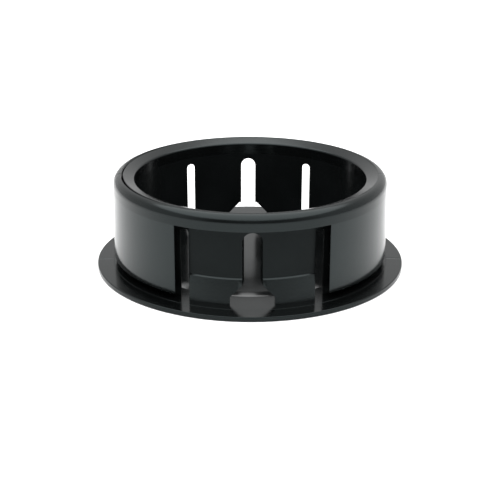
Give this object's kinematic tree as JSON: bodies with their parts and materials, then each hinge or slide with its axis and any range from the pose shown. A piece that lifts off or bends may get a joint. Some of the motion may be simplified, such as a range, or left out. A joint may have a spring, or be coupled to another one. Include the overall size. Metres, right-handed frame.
{
  "type": "snap-in hole plug",
  "caption": "Round snap-in hole plug: a closed face with a thin flange, a slotted barrel under a rounded rim, and locking wings that flex inward to pass and grip a panel hole.",
  "frame": {"origin": "centre of the underside of the face, the outer face in use", "axes": "+Z from the face through the barrel to the rim, the way the plug is pushed through the panel; +X through a locking wing, Y through the windows"},
  "size_m": [0.052, 0.052, 0.0159],
  "materials": {
    "moulded_nylon": "black injection-moulded nylon, semi-gloss as it leaves the mould",
    "polished_nylon": "black injection-moulded nylon, high gloss"
  },
  "bodies": {
    "cap_body": {"face_disc": "polished_nylon", "flange_ring": "polished_nylon", "rim_inner_bead": "moulded_nylon", "rim_outer_band": "moulded_nylon", "slot_collar": "moulded_nylon", "left_side_wall": "moulded_nylon", "right_side_wall": "moulded_nylon", "front_left_web": "moulded_nylon", "front_left_web_pad": "moulded_nylon", "front_right_web": "moulded_nylon", "front_right_web_pad": "moulded_nylon", "back_left_web": "moulded_nylon", "back_left_web_pad": "moulded_nylon", "back_right_web": "moulded_nylon", "back_right_web_pad": "moulded_nylon"},
    "left_wing": {"left_locking_wing": "moulded_nylon"},
    "right_wing": {"right_locking_wing": "moulded_nylon"}
  },
  "joints": [
    {"name": "left_wing_flex", "type": "hinge", "parent": "cap_body", "child": "left_wing", "pos_m": [-0.012, 0, 0.0133], "axis": [0, -1, 0], "range_deg": [0, 3], "stiffness_Nm_per_rad": 1},
    {"name": "right_wing_flex", "type": "hinge", "parent": "cap_body", "child": "right_wing", "pos_m": [0.012, 0, 0.0133], "axis": [0, 1, 0], "range_deg": [0, 3], "stiffness_Nm_per_rad": 1}
  ]
}
